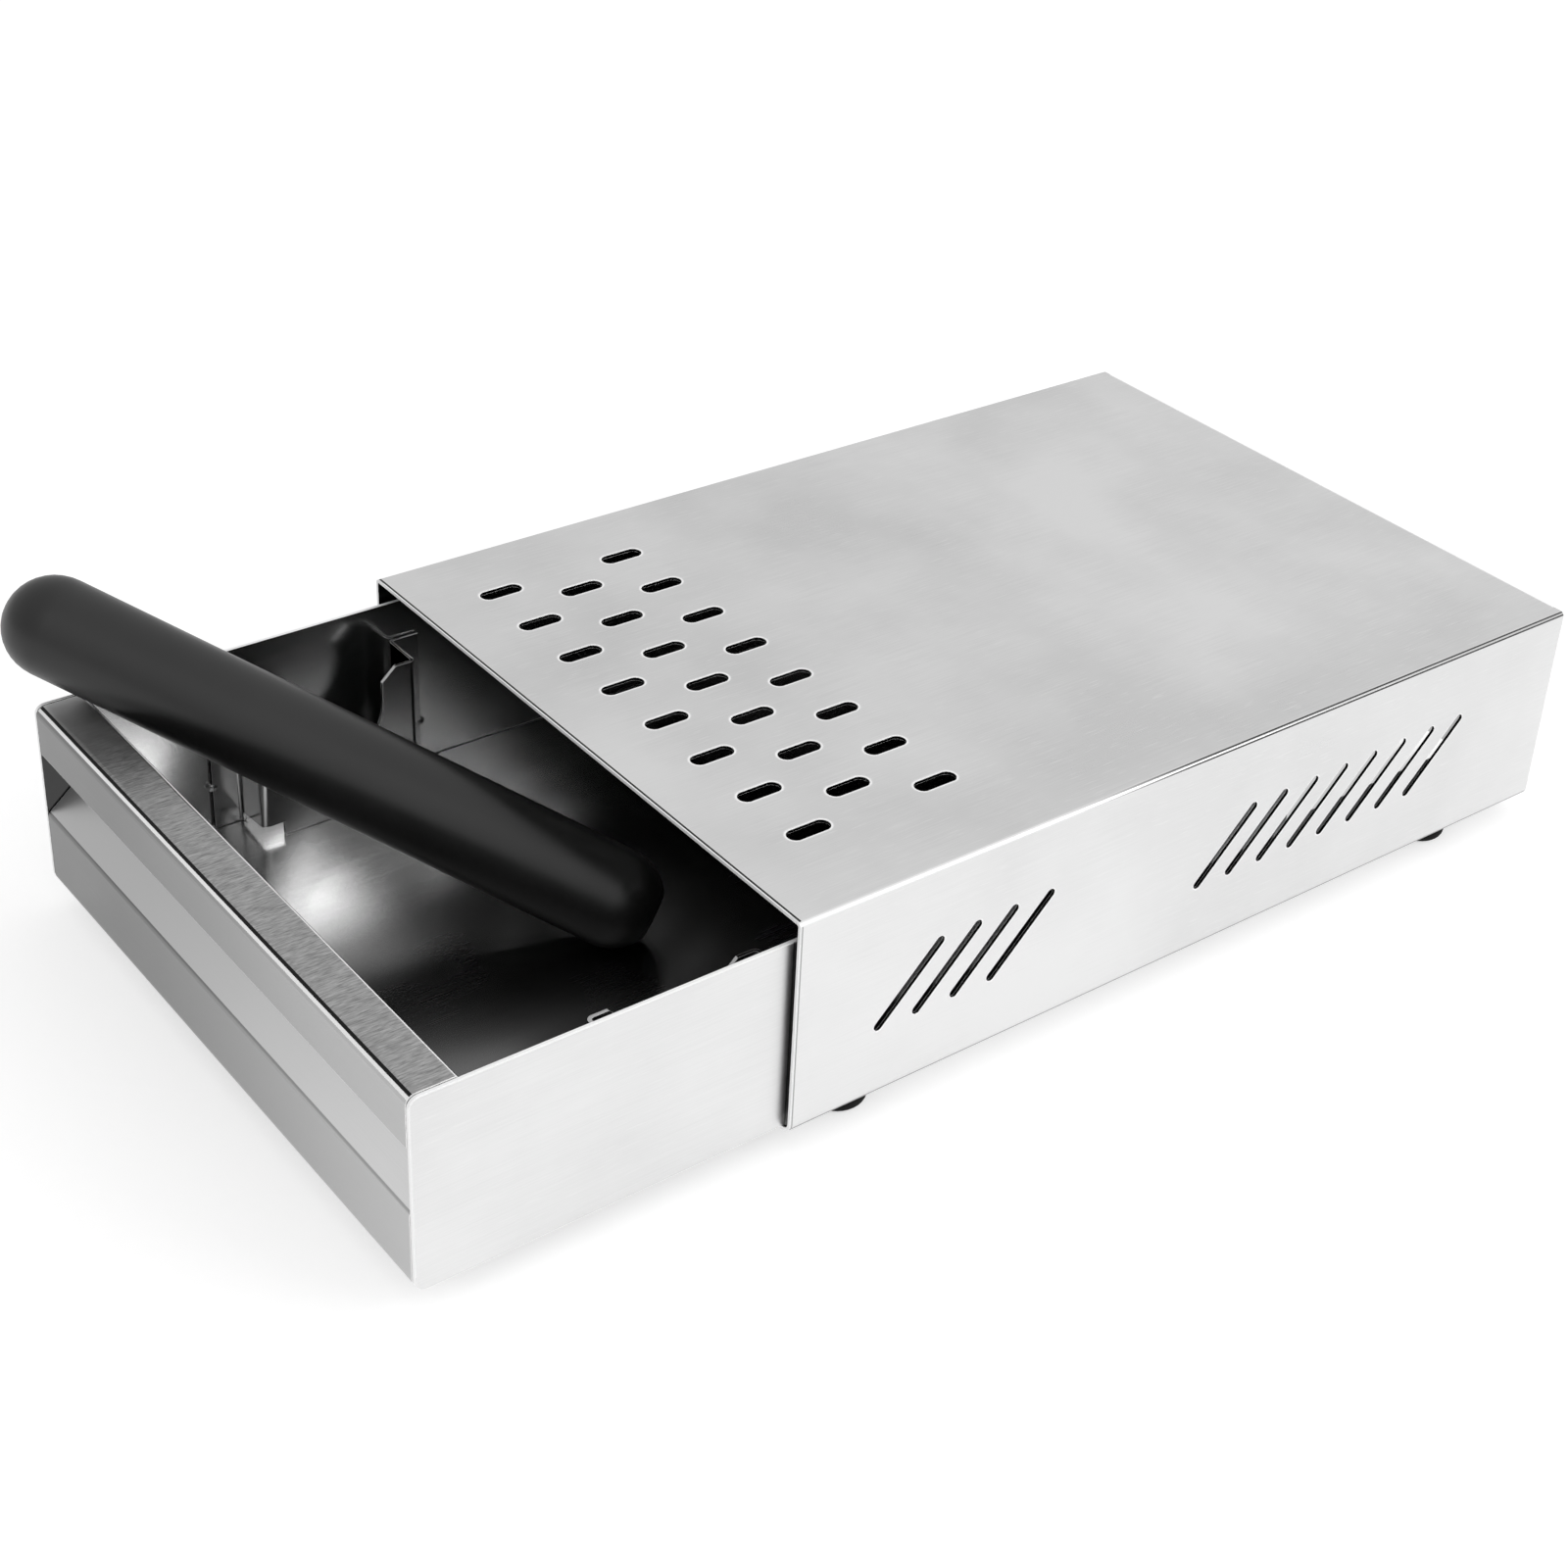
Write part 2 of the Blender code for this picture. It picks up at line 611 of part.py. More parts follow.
def make_bar(drawer, parts):
    centre, direction = leaning_bar()
    grip = add_empty("bar_axis", drawer, parts, centre)
    grip.rotation_euler = direction.to_track_quat("Z", "Y").to_euler()
    dome = BAR_LENGTH / 2 - BAR_RADIUS
    mouth_angle = math.degrees(math.acos(CORE_BORE_RADIUS / BAR_RADIUS))
    bore_end = BAR_LENGTH / 2 - CORE_COVER
    profile = arc((0, dome), BAR_RADIUS, 90, 0, DOME_STEPS)
    profile += arc((0, -dome), BAR_RADIUS, 0, -mouth_angle, DOME_STEPS)
    profile += [(CORE_BORE_RADIUS, bore_end), (0, bore_end)]
    mesh = turned_mesh("bar_sleeve", profile, False)
    spin(add_piece("bar_sleeve", mesh, "satin_black_rubber", grip, parts), BAR_TURNS)
    top = bore_end - GAP
    bottom = CORE_SETBACK - BAR_LENGTH / 2
    radius = CORE_DIAMETER / 2
    core = [(0, top), (radius, top), (radius, bottom), (0, bottom)]
    mesh = turned_mesh("bar_core", core, False)
    spin(add_piece("bar_core", mesh, "zinc_plated_steel", grip, parts), BAR_TURNS)


def stand_on_origin(root, parts):
    """Moves the root so that the middle of the model's footprint is on the origin."""
    bpy.context.view_layer.update()
    graph = bpy.context.evaluated_depsgraph_get()
    points = []
    for obj in parts.objects:
        if obj.type != "MESH":
            continue
        shown = obj.evaluated_get(graph)
        points += [shown.matrix_world @ vert.co for vert in shown.data.vertices]
    low = [min(point[axis] for point in points) for axis in range(3)]
    high = [max(point[axis] for point in points) for axis in range(3)]
    root.location = (-(low[0] + high[0]) / 2, -(low[1] + high[1]) / 2, -low[2])


def main():
    clear_scene()
    parts = new_collection("coffee_knock_drawer")
    cutters = new_collection("cutters", hidden=True)
    root = add_empty("knock_drawer_root", None, parts)
    make_housing(root, parts, cutters)
    make_rear_panel(root, parts)
    make_feet(root, parts)
    drawer = add_empty("drawer_carriage", root, parts, (0, -DRAWER_PULLED, 0))
    make_drawer_front(drawer, parts)
    make_drawer_base(drawer, parts)
    make_drawer_sides(drawer, parts)
    make_cradles(drawer, parts, cutters)
    make_bar(drawer, parts)
    stand_on_origin(root, parts)


main()
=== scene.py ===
"""The coffee knock drawer's finishes, weld marks, studio and camera.

All sizes are in metres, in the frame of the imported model: X across, Y to the back, Z up.
"""

import math

import bmesh
import bpy
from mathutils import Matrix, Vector


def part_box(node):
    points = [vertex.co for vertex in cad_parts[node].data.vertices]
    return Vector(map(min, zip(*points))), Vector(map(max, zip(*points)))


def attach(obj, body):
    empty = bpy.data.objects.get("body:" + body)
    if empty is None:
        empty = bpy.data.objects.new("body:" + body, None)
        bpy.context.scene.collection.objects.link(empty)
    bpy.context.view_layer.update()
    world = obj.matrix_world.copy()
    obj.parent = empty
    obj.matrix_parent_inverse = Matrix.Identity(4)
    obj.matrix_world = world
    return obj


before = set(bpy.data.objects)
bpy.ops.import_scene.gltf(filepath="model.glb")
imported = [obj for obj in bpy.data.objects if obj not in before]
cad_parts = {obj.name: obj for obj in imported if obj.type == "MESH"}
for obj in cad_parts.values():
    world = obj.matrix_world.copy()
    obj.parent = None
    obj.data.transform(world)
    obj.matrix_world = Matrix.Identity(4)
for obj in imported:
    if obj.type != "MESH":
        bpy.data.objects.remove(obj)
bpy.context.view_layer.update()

HOUSING_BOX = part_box("housing_shell")
HOUSING_MIDDLE = (HOUSING_BOX[0] + HOUSING_BOX[1]) / 2
HOUSING_HALF = (HOUSING_BOX[1] - HOUSING_BOX[0]) / 2
FRONT_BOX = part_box("drawer_front")
MM = 0.001

# The photograph's camera, fitted to the housing's corners in the 1600 x 1600 frame
CAMERA_PLACE = (0.5024, -0.4048, 0.4358)
CAMERA_TURN_DEG = (59.206, -3.482, 51.537)
CAMERA_LENS_MM = 61.13
CAMERA_SENSOR_MM = 36
CAMERA_SHIFT = (-0.0617, -0.0581)
CAMERA_CLIP_START = 0.01

# Light: where the studio is brightest, how bright it is there and opposite, and its two lamps,
# each with its place, size and power
BRIGHT_SIDE = Vector((0.6, 0.68, 0.42)).normalized()
STUDIO_DIM = 0.66
STUDIO_BRIGHT = 1.1
STUDIO_FALL = 3.0
SOFTBOXES = (
    ("back_softbox", (1.5, 1.0, 1.05), 1.0, 9),
    ("front_softbox", (0.8, -0.45, 0.75), 1.2, 1.2),
)
FLOOR_REACH = 14.0
FLOOR_LIFT = 0.56
LAMINATE_SPECK = 4 * MM

# Belt brushing: real lines are about 0.05 mm wide, drawn five times as wide so that they show
BRUSH_LINE_WIDTH = 0.25 * MM
BRUSH_LINE_LENGTH = 26 * MM
BRUSHED_GLOSS = 0.27

# Stray scratches of the belt and fibres of the scuffing pad, real ones under 0.1 mm wide,
# drawn four to five times as wide so that they show
SCRATCH_WIDTH = 0.5 * MM
SCRATCH_LENGTH = 9 * MM
SCUFF_WIDTH = 0.34 * MM
SCUFF_LENGTH = 3.0 * MM
SCUFFED_GLOSS = 0.38

# Other marks on the steel: rolling lines and the deburring stone's marks are drawn about five
# times as wide as real ones, so that they show, and wiping, clouds and mottle at their real size
WIPE_MARK_SIZE = 70 * MM
ROLLING_LINE_WIDTH = 0.5 * MM
ROLLING_LINE_LENGTH = 50 * MM
ROLLING_CLOUD_SIZE = 35 * MM
STONE_MARK_SIZE = 0.5 * MM
ZINC_MOTTLE_SIZE = 1.2 * MM
MARK_DEPTH = 0.02 * MM
ROLLED_GLOSS = 0.155
FLOOR_GLOSS = 0.235
DULL_GLOSS = 0.3

# Rubber: the mould's grain, and the patches where hands dull it
BAR_GRAIN = 0.35 * MM
FOOT_GRAIN = 0.3 * MM
HANDLED_PATCH_SIZE = 30 * MM

# The turn between two faces from which their edge is rounded off, and by how much
ROUNDED_FROM_TURN = math.radians(50)
HOUSING_EDGE = 0.35 * MM
CORE_EDGE = 0.3 * MM
SHEET_EDGE = 0.2 * MM
SMALL_EDGE = 0.12 * MM
JOIN_DISTANCE = 0.01 * MM

# The housing's slot rims, matt from deburring and painted near-white as a highlight: their width, and the
# stretch of an axis that holds them, which stops short of the folds
TOP_RIM = (1.3 * MM, "X", HOUSING_MIDDLE.x, HOUSING_HALF.x - 4 * MM)
FLANK_RIM = (0.9 * MM, "Z", HOUSING_MIDDLE.z, HOUSING_HALF.z - 6 * MM)

# The line of painted shade along the housing's mouth, dark on the top and grey on the flank: its axis,
# middle, half width and colour
MOUTH_LINE_AT = HOUSING_BOX[0].y + 0.65 * MM
TOP_PAINTED_SHADE_LINE = ("Y", MOUTH_LINE_AT, 0.3 * MM, "#2C2C2C")
FLANK_PAINTED_SHADE_LINE = ("Y", MOUTH_LINE_AT, 0.2 * MM, "#A8A8A8")

# Painted light and shade along a piece: where a finish goes over to another colour, the axis, where it
# starts and where it is complete
FOLD_PAINTED_SHADE = ("Y", -10 * MM, 50 * MM)
FRONT_PAINTED_SHADE = ("X", 130 * MM, -60 * MM)
STRIP_PAINTED_LIGHT = ("X", -45 * MM, -85 * MM)
FLOOR_PAINTED_SHADE = ("X", -52 * MM, -14 * MM)
RECESS_PAINTED_SHADE = ("Y", FRONT_BOX[0].y + 14.2 * MM, FRONT_BOX[0].y + 13 * MM)

# Sorting a node's faces: how much of a face's direction lies along an axis
SQUARE_ON = 0.95
FACING = 0.7
SLANTED = 0.3
EDGE_ON = 0.1
PLANE_STEP = 0.1 * MM
NARROWEST_PLANE = 0.8 * MM

# The housing's faces, in the order of its finishes, and the depths that tell them apart
TOP, CUT_EDGE, FLANK, HOLLOW, FOLD_BAND, FOLD, UNDERSIDE = range(7)
SHEET = 1 * MM
SLOT_WALL_NEAR = 0.2 * MM
SLOT_WALL_FAR = 0.8 * MM
FOLD_MARGIN = 5 * MM
SIDE_SLOT_FLOOR = 55 * MM
FLANGE_DROP = 61 * MM

# The drawer front's faces, in the order of its finishes, and the heights that tell them apart; its bright
# band is a painted highlight and its dark band painted shade
OUTSIDE, STRIP, INNER, BRIGHT_BAND, SLOPE, DARK_BAND, CREASE = range(7)
STRIP_DROP = 1.5 * MM
STRIP_FOLD_DROP = 3 * MM
LIP_DROP = 10 * MM
FLANGE_HEIGHT = 12 * MM
BAND_RISE = 0.6
BAND_MIDDLE_RISE = 0.8
SLOPE_RISE = 0.72
UPRIGHT = 0.9

# A side plate's faces, in the order of its finishes
PLATE_OUTSIDE, PLATE_INSIDE, PLATE_EDGE = range(3)

# Weld beads beside the cradles, long along the wall
WELD_SPOT_SIZE = (1.0 * MM, 1.7 * MM, 1.2 * MM)
WELD_SPOT_HEIGHT = 21.8 * MM
WELD_OFF_WALL = 0.4 * MM
WELD_INSIDE_END = 0.2 * MM
WELD_RIPPLE_SHARE = 0.12
WELD_RIPPLES = (2, 0, 9)

X_AXIS, Y_AXIS = (1, 0, 0), (0, 1, 0)


def linear(hex_colour):
    """An sRGB hex colour as linear RGBA."""
    channels = [int(hex_colour[i:i + 2], 16) / 255 for i in (1, 3, 5)]
    return (*[c / 12.92 if c <= 0.04045 else ((c + 0.055) / 1.055) ** 2.4 for c in channels], 1.0)


def add_node(tree, kind, settings=None, inputs=None):
    """Adds a node, sets its own settings, and sets or links each of its inputs."""
    node = tree.nodes.new(kind)
    for name, value in (settings or {}).items():
        setattr(node, name, value)
    for key, value in (inputs or {}).items():
        if isinstance(value, bpy.types.NodeSocket):
            tree.links.new(value, node.inputs[key])
        else:
            node.inputs[key].default_value = value
    return node


def new_finish(name):
    """An empty material, its node tree and the object coordinates that its patterns lie on."""
    material = bpy.data.materials.new(name)
    material.use_nodes = True
    tree = material.node_tree
    tree.nodes.clear()
    place = add_node(tree, "ShaderNodeTexCoord").outputs["Object"]
    return material, tree, place


def close_finish(tree, shader):
    add_node(tree, "ShaderNodeOutputMaterial", None, {"Surface": shader.outputs[0]})


def brush_lines(tree, place, along, width, length, detail, seed):
    """A grain drawn out along one axis, one width across and one length long."""
    steps = [1 / (length if axis else width) for axis in along]
    drawn = add_node(tree, "ShaderNodeMapping", None,
                     {"Vector": place, "Scale": steps, "Location": (seed, 2 * seed, 3 * seed)})
    grain = add_node(tree, "ShaderNodeTexNoise", None,
                     {"Vector": drawn.outputs[0], "Scale": 1.0, "Detail": detail, "Roughness": 0.55})
    return grain.outputs["Fac"]


def near_an_edge(tree, width):
    """1 on a cut edge or fold, falling to 0 at the rim's width from it."""
    rounded = add_node(tree, "ShaderNodeBevel", {"samples": 8}, {"Radius": width})
    flat = add_node(tree, "ShaderNodeNewGeometry")
    alike = add_node(tree, "ShaderNodeVectorMath", {"operation": "DOT_PRODUCT"},
                     {0: rounded.outputs[0], 1: flat.outputs["Normal"]})
    rim = add_node(tree, "ShaderNodeMapRange", None,
                   {"Value": alike.outputs["Value"], "From Min": 0.9995, "From Max": 0.985})
    return rim.outputs[0]


def painted_light_along(tree, place, colour, end):
    """Painted light and shade: metal that goes from its own colour, at start, to another one, at full,
    along an axis.
    """
    axis, start, full, end_colour = end
    where = add_node(tree, "ShaderNodeSeparateXYZ", None, {"Vector": place})
    amount = add_node(tree, "ShaderNodeMapRange", {"interpolation_type": "SMOOTHSTEP"},
                      {"Value": where.outputs[axis], "From Min": start, "From Max": full})
    return add_node(tree, "ShaderNodeMix", {"data_type": "RGBA"},
                    {0: amount.outputs[0], 6: colour, 7: linear(end_colour)}).outputs[2]


def painted_shade_line(tree, place, colour, line):
    """A fine straight line of painted shade across the sheet."""
    axis, middle, half_width, line_colour = line
    where = add_node(tree, "ShaderNodeSeparateXYZ", None, {"Vector": place})
    inside = add_node(tree, "ShaderNodeMath", {"operation": "COMPARE"},
                      {0: where.outputs[axis], 1: middle, 2: half_width})
    return add_node(tree, "ShaderNodeMix", {"data_type": "RGBA"},
                    {0: inside.outputs[0], 6: colour, 7: linear(line_colour)}).outputs[2]


def rubbed_and_highlit_rim(tree, place, shade, dullness, rim):
    """The matt band that deburring leaves round a slot, painted near-white as a highlight: its colour,
    roughness and metal.
    """
    width, axis, middle, reach = rim
    where = add_node(tree, "ShaderNodeSeparateXYZ", None, {"Vector": place})
    inside = add_node(tree, "ShaderNodeMath", {"operation": "COMPARE"},
                      {0: where.outputs[axis], 1: middle, 2: reach})
    rubbed_highlight = add_node(tree, "ShaderNodeMath", {"operation": "MULTIPLY"},
                      {0: near_an_edge(tree, width), 1: inside.outputs[0]}).outputs[0]
    paler = add_node(tree, "ShaderNodeMix", {"data_type": "RGBA"},
                     {0: rubbed_highlight, 6: shade, 7: linear("#FDFDFD")})
    duller = add_node(tree, "ShaderNodeMath", {"operation": "MULTIPLY_ADD", "use_clamp": True},
                      {0: rubbed_highlight, 1: 0.6, 2: dullness})
    metal = add_node(tree, "ShaderNodeMath", {"operation": "MULTIPLY_ADD"},
                     {0: rubbed_highlight, 1: -0.8, 2: 1.0})
    return paler.outputs[2], duller.outputs[0], metal.outputs[0]


def brushed_steel(name, light, dark, gloss, along, seed, rim=None, end=None, line=None):
    """Stainless sheet brushed by a belt: fine lines one way, in a soft sheen blurred across them.

    The eye gets a pale, even metal with faint streaks, cloudy where it was wiped, and white round the
    slots, where the rim carries a painted highlight. An end colour, where given, is painted light and
    shade along the piece, and a line is painted shade.
    """
    material, tree, place = new_finish(name)
    lines = brush_lines(tree, place, along, BRUSH_LINE_WIDTH, BRUSH_LINE_LENGTH, 3.0, seed)
    wiped = add_node(tree, "ShaderNodeTexNoise", None,
                     {"Vector": place, "Scale": 1 / WIPE_MARK_SIZE, "Detail": 4.0, "Roughness": 0.5})
    streaks = add_node(tree, "ShaderNodeMath", {"operation": "MULTIPLY_ADD"},
                       {0: lines, 1: 0.35, 2: wiped.outputs["Fac"]})
    amount = add_node(tree, "ShaderNodeMapRange", None,
                      {"Value": streaks.outputs[0], "From Min": 0.5, "From Max": 0.85})
    colour = add_node(tree, "ShaderNodeMix", {"data_type": "RGBA"},
                      {0: amount.outputs[0], 6: linear(dark), 7: linear(light)})
    marks = brush_lines(tree, place, along, SCRATCH_WIDTH, SCRATCH_LENGTH, 1.0, seed + 5)
    scratch = add_node(tree, "ShaderNodeMapRange", None,
                       {"Value": marks, "From Min": 0.64, "From Max": 0.72, "To Max": 0.6})
    shade = add_node(tree, "ShaderNodeMix", {"data_type": "RGBA"},
                     {0: scratch.outputs[0], 6: colour.outputs[2], 7: linear(light)}).outputs[2]
    if end:
        shade = painted_light_along(tree, place, shade, end)
    smear = add_node(tree, "ShaderNodeMapRange", None,
                     {"Value": wiped.outputs["Fac"], "From Min": 0.3, "From Max": 0.7,
                      "To Min": gloss - 0.03, "To Max": gloss + 0.03})
    rough = add_node(tree, "ShaderNodeMath", {"operation": "MULTIPLY_ADD"},
                     {0: lines, 1: 0.08, 2: smear.outputs[0]})
    relief = add_node(tree, "ShaderNodeBump", None,
                      {"Strength": 0.1, "Distance": MARK_DEPTH, "Height": lines})
    dullness, metal = rough.outputs[0], 1.0
    if rim:
        shade, dullness, metal = rubbed_and_highlit_rim(tree, place, shade, dullness, rim)
    if line:
        shade = painted_shade_line(tree, place, shade, line)
    way = add_node(tree, "ShaderNodeCombineXYZ", None, dict(zip("XYZ", along)))
    shader = add_node(tree, "ShaderNodeBsdfPrincipled", None,
                      {"Base Color": shade, "Metallic": metal, "Roughness": dullness,
                       "Anisotropic": 0.5, "Normal": relief.outputs[0], "Tangent": way.outputs[0]})
    close_finish(tree, shader)
    return material


def scuffed_steel(name, light, dark, gloss, along, end):
    """Stainless sheet scuffed with a pad: short marks of light and dark, close together, half matt."""
    material, tree, place = new_finish(name)
    fibres = brush_lines(tree, place, along, SCUFF_WIDTH, SCUFF_LENGTH, 3.0, 9.0)
    amount = add_node(tree, "ShaderNodeMapRange", None,
                      {"Value": fibres, "From Min": 0.3, "From Max": 0.7})
    colour = add_node(tree, "ShaderNodeMix", {"data_type": "RGBA"},
                      {0: amount.outputs[0], 6: linear(dark), 7: linear(light)})
    shade = painted_light_along(tree, place, colour.outputs[2], end)
    rough = add_node(tree, "ShaderNodeMapRange", None,
                     {"Value": fibres, "From Min": 0.3, "From Max": 0.7,
                      "To Min": gloss - 0.05, "To Max": gloss + 0.05})
    relief = add_node(tree, "ShaderNodeBump", None,
                      {"Strength": 0.2, "Distance": MARK_DEPTH, "Height": fibres})
    way = add_node(tree, "ShaderNodeCombineXYZ", None, dict(zip("XYZ", along)))
    shader = add_node(tree, "ShaderNodeBsdfPrincipled", None,
                      {"Base Color": shade, "Metallic": 1.0, "Roughness": rough.outputs[0],
                       "Anisotropic": 0.4, "Normal": relief.outputs[0], "Tangent": way.outputs[0]})
    close_finish(tree, shader)
    return material


def rolled_steel(name, light, dark, gloss, seed, end=None):
    """Stainless sheet as it leaves the rolls: a soft dark mirror, with long faint rolling lines."""
    material, tree, place = new_finish(name)
    lines = brush_lines(tree, place, Y_AXIS, ROLLING_LINE_WIDTH, ROLLING_LINE_LENGTH, 2.0, seed)
    cloud = add_node(tree, "ShaderNodeTexNoise", None,
                     {"Vector": place, "Scale": 1 / ROLLING_CLOUD_SIZE, "Detail": 2.0,
                      "Roughness": 0.45})
    shade = add_node(tree, "ShaderNodeMix", {"data_type": "RGBA"},
                     {0: lines, 6: linear(dark), 7: linear(light)}).outputs[2]
    if end:
        shade = painted_light_along(tree, place, shade, end)
    haze = add_node(tree, "ShaderNodeMapRange", None,
                    {"Value": cloud.outputs["Fac"], "From Min": 0.3, "From Max": 0.7,
                     "To Min": gloss - 0.02, "To Max": gloss + 0.02})
    rough = add_node(tree, "ShaderNodeMath", {"operation": "MULTIPLY_ADD"},
                     {0: lines, 1: 0.04, 2: haze.outputs[0]})
    way = add_node(tree, "ShaderNodeCombineXYZ", None, dict(zip("XYZ", Y_AXIS)))
    shader = add_node(tree, "ShaderNodeBsdfPrincipled", None,
                      {"Base Color": shade, "Metallic": 1.0, "Roughness": rough.outputs[0],
                       "Anisotropic": 0.4, "Tangent": way.outputs[0]})
    close_finish(tree, shader)
    return material


def deburred_and_highlit_edge(name):
    """A cut edge rounded off by a fine stone: it scatters light, and its near-white colour is a painted
    highlight that shows as a thin pale line.
    """
    material, tree, place = new_finish(name)
    stone = add_node(tree, "ShaderNodeTexNoise", None,
                     {"Vector": place, "Scale": 1 / STONE_MARK_SIZE, "Detail": 2.0})
    colour = add_node(tree, "ShaderNodeMix", {"data_type": "RGBA"},
                      {0: stone.outputs["Fac"], 6: linear("#F4F4F4"), 7: linear("#FDFDFD")})
    rough = add_node(tree, "ShaderNodeMapRange", None,
                     {"Value": stone.outputs["Fac"], "To Min": 0.8, "To Max": 0.95})
    shader = add_node(tree, "ShaderNodeBsdfPrincipled", None,
                      {"Base Color": colour.outputs[2], "Metallic": 1.0, "Roughness": rough.outputs[0]})
    close_finish(tree, shader)
    return material


def zinc_plate(name):
    """Bright zinc plating on the screws, washers and core: cool grey, slightly mottled, half gloss."""
    material, tree, place = new_finish(name)
    mottle = add_node(tree, "ShaderNodeTexNoise", None,
                      {"Vector": place, "Scale": 1 / ZINC_MOTTLE_SIZE, "Detail": 3.0})
    colour = add_node(tree, "ShaderNodeMix", {"data_type": "RGBA"},
                      {0: mottle.outputs["Fac"], 6: linear("#A6A9AE"), 7: linear("#C9CCD0")})
    rough = add_node(tree, "ShaderNodeMapRange", None,
                     {"Value": mottle.outputs["Fac"], "To Min": 0.28, "To Max": 0.45})
    shader = add_node(tree, "ShaderNodeBsdfPrincipled", None,
                      {"Base Color": colour.outputs[2], "Metallic": 1.0, "Roughness": rough.outputs[0]})
    close_finish(tree, shader)
    return material


def moulded_rubber(name, light, dark, gloss, grain_size, grip, shine):
    """Rubber from a steel mould: a fine even skin, with paler, duller patches where it is handled."""
    material, tree, place = new_finish(name)
    skin = add_node(tree, "ShaderNodeTexNoise", None,
                    {"Vector": place, "Scale": 1 / grain_size, "Detail": 3.0, "Roughness": 0.6})
    handled = add_node(tree, "ShaderNodeTexNoise", None,
                       {"Vector": place, "Scale": 1 / HANDLED_PATCH_SIZE, "Detail": 3.0,
                        "Roughness": 0.5})
    worn = add_node(tree, "ShaderNodeMapRange", None,
                    {"Value": handled.outputs["Fac"], "From Min": 0.35, "From Max": 0.65})
    colour = add_node(tree, "ShaderNodeMix", {"data_type": "RGBA"},
                      {0: worn.outputs[0], 6: linear(dark), 7: linear(light)})
    rough = add_node(tree, "ShaderNodeMapRange", None,
                     {"Value": worn.outputs[0], "To Min": gloss - 0.03, "To Max": gloss + 0.04})
    relief = add_node(tree, "ShaderNodeBump", None,
                      {"Strength": grip, "Distance": MARK_DEPTH, "Height": skin.outputs["Fac"]})
    shader = add_node(tree, "ShaderNodeBsdfPrincipled", None,
                      {"Base Color": colour.outputs[2], "IOR": 1.52, "Specular IOR Level": shine,
                       "Roughness": rough.outputs[0], "Normal": relief.outputs[0]})
    close_finish(tree, shader)
    return material


def wide_planes(mesh):
    """Whether each face lies in a plane wider than a fold's facets, and so has to stay dead flat."""
    planes = {}
    keys = []
    for face in mesh.polygons:
        away = face.normal.dot(face.center)
        key = (*[round(part, 2) for part in face.normal], round(away / PLANE_STEP))
        keys.append(key)
        area, low, high = planes.get(key, (0.0, face.center, face.center))
        corners = [mesh.vertices[index].co for index in face.vertices] + [low, high]
        low = Vector([min(corner[axis] for corner in corners) for axis in range(3)])
        high = Vector([max(corner[axis] for corner in corners) for axis in range(3)])
        planes[key] = (area + face.area, low, high)
    wide = {key: area > NARROWEST_PLANE * (high - low).length
            for key, (area, low, high) in planes.items()}
    return [wide[key] for key in keys]


def dress(node, finishes, pick=None, edge_width=0.0, edge_slot=0, turned=False):
    """Gives a CAD node its finishes face by face, smooth folds and rounded-off edges."""
    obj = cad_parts[node]
    obj.data.materials.clear()
    for finish in finishes:
        obj.data.materials.append(finish)
    for face, flat in zip(obj.data.polygons, wide_planes(obj.data)):
        face.use_smooth = turned or not flat
        face.material_index = pick(face.normal, face.center) if pick else 0
    weld = obj.modifiers.new("joined_faces", "WELD")
    weld.merge_threshold = JOIN_DISTANCE
    if edge_width:
        bevel = obj.modifiers.new("rounded_off_edges", "BEVEL")
        bevel.width = edge_width
        bevel.segments = 2
        bevel.limit_method = "ANGLE"
        bevel.angle_limit = ROUNDED_FROM_TURN
        bevel.material = edge_slot
    if turned:
        weigh = obj.modifiers.new("even_shading", "WEIGHTED_NORMAL")
        weigh.weight = 80


def make_camera():
    data = bpy.data.cameras.new("photo_camera")
    data.lens = CAMERA_LENS_MM
    data.sensor_width = CAMERA_SENSOR_MM
    data.shift_x, data.shift_y = CAMERA_SHIFT
    data.clip_start = CAMERA_CLIP_START
    camera = bpy.data.objects.new("photo_camera", data)
    camera.location = CAMERA_PLACE
    camera.rotation_euler = [math.radians(angle) for angle in CAMERA_TURN_DEG]
    bpy.context.scene.collection.objects.link(camera)
    bpy.context.scene.camera = camera


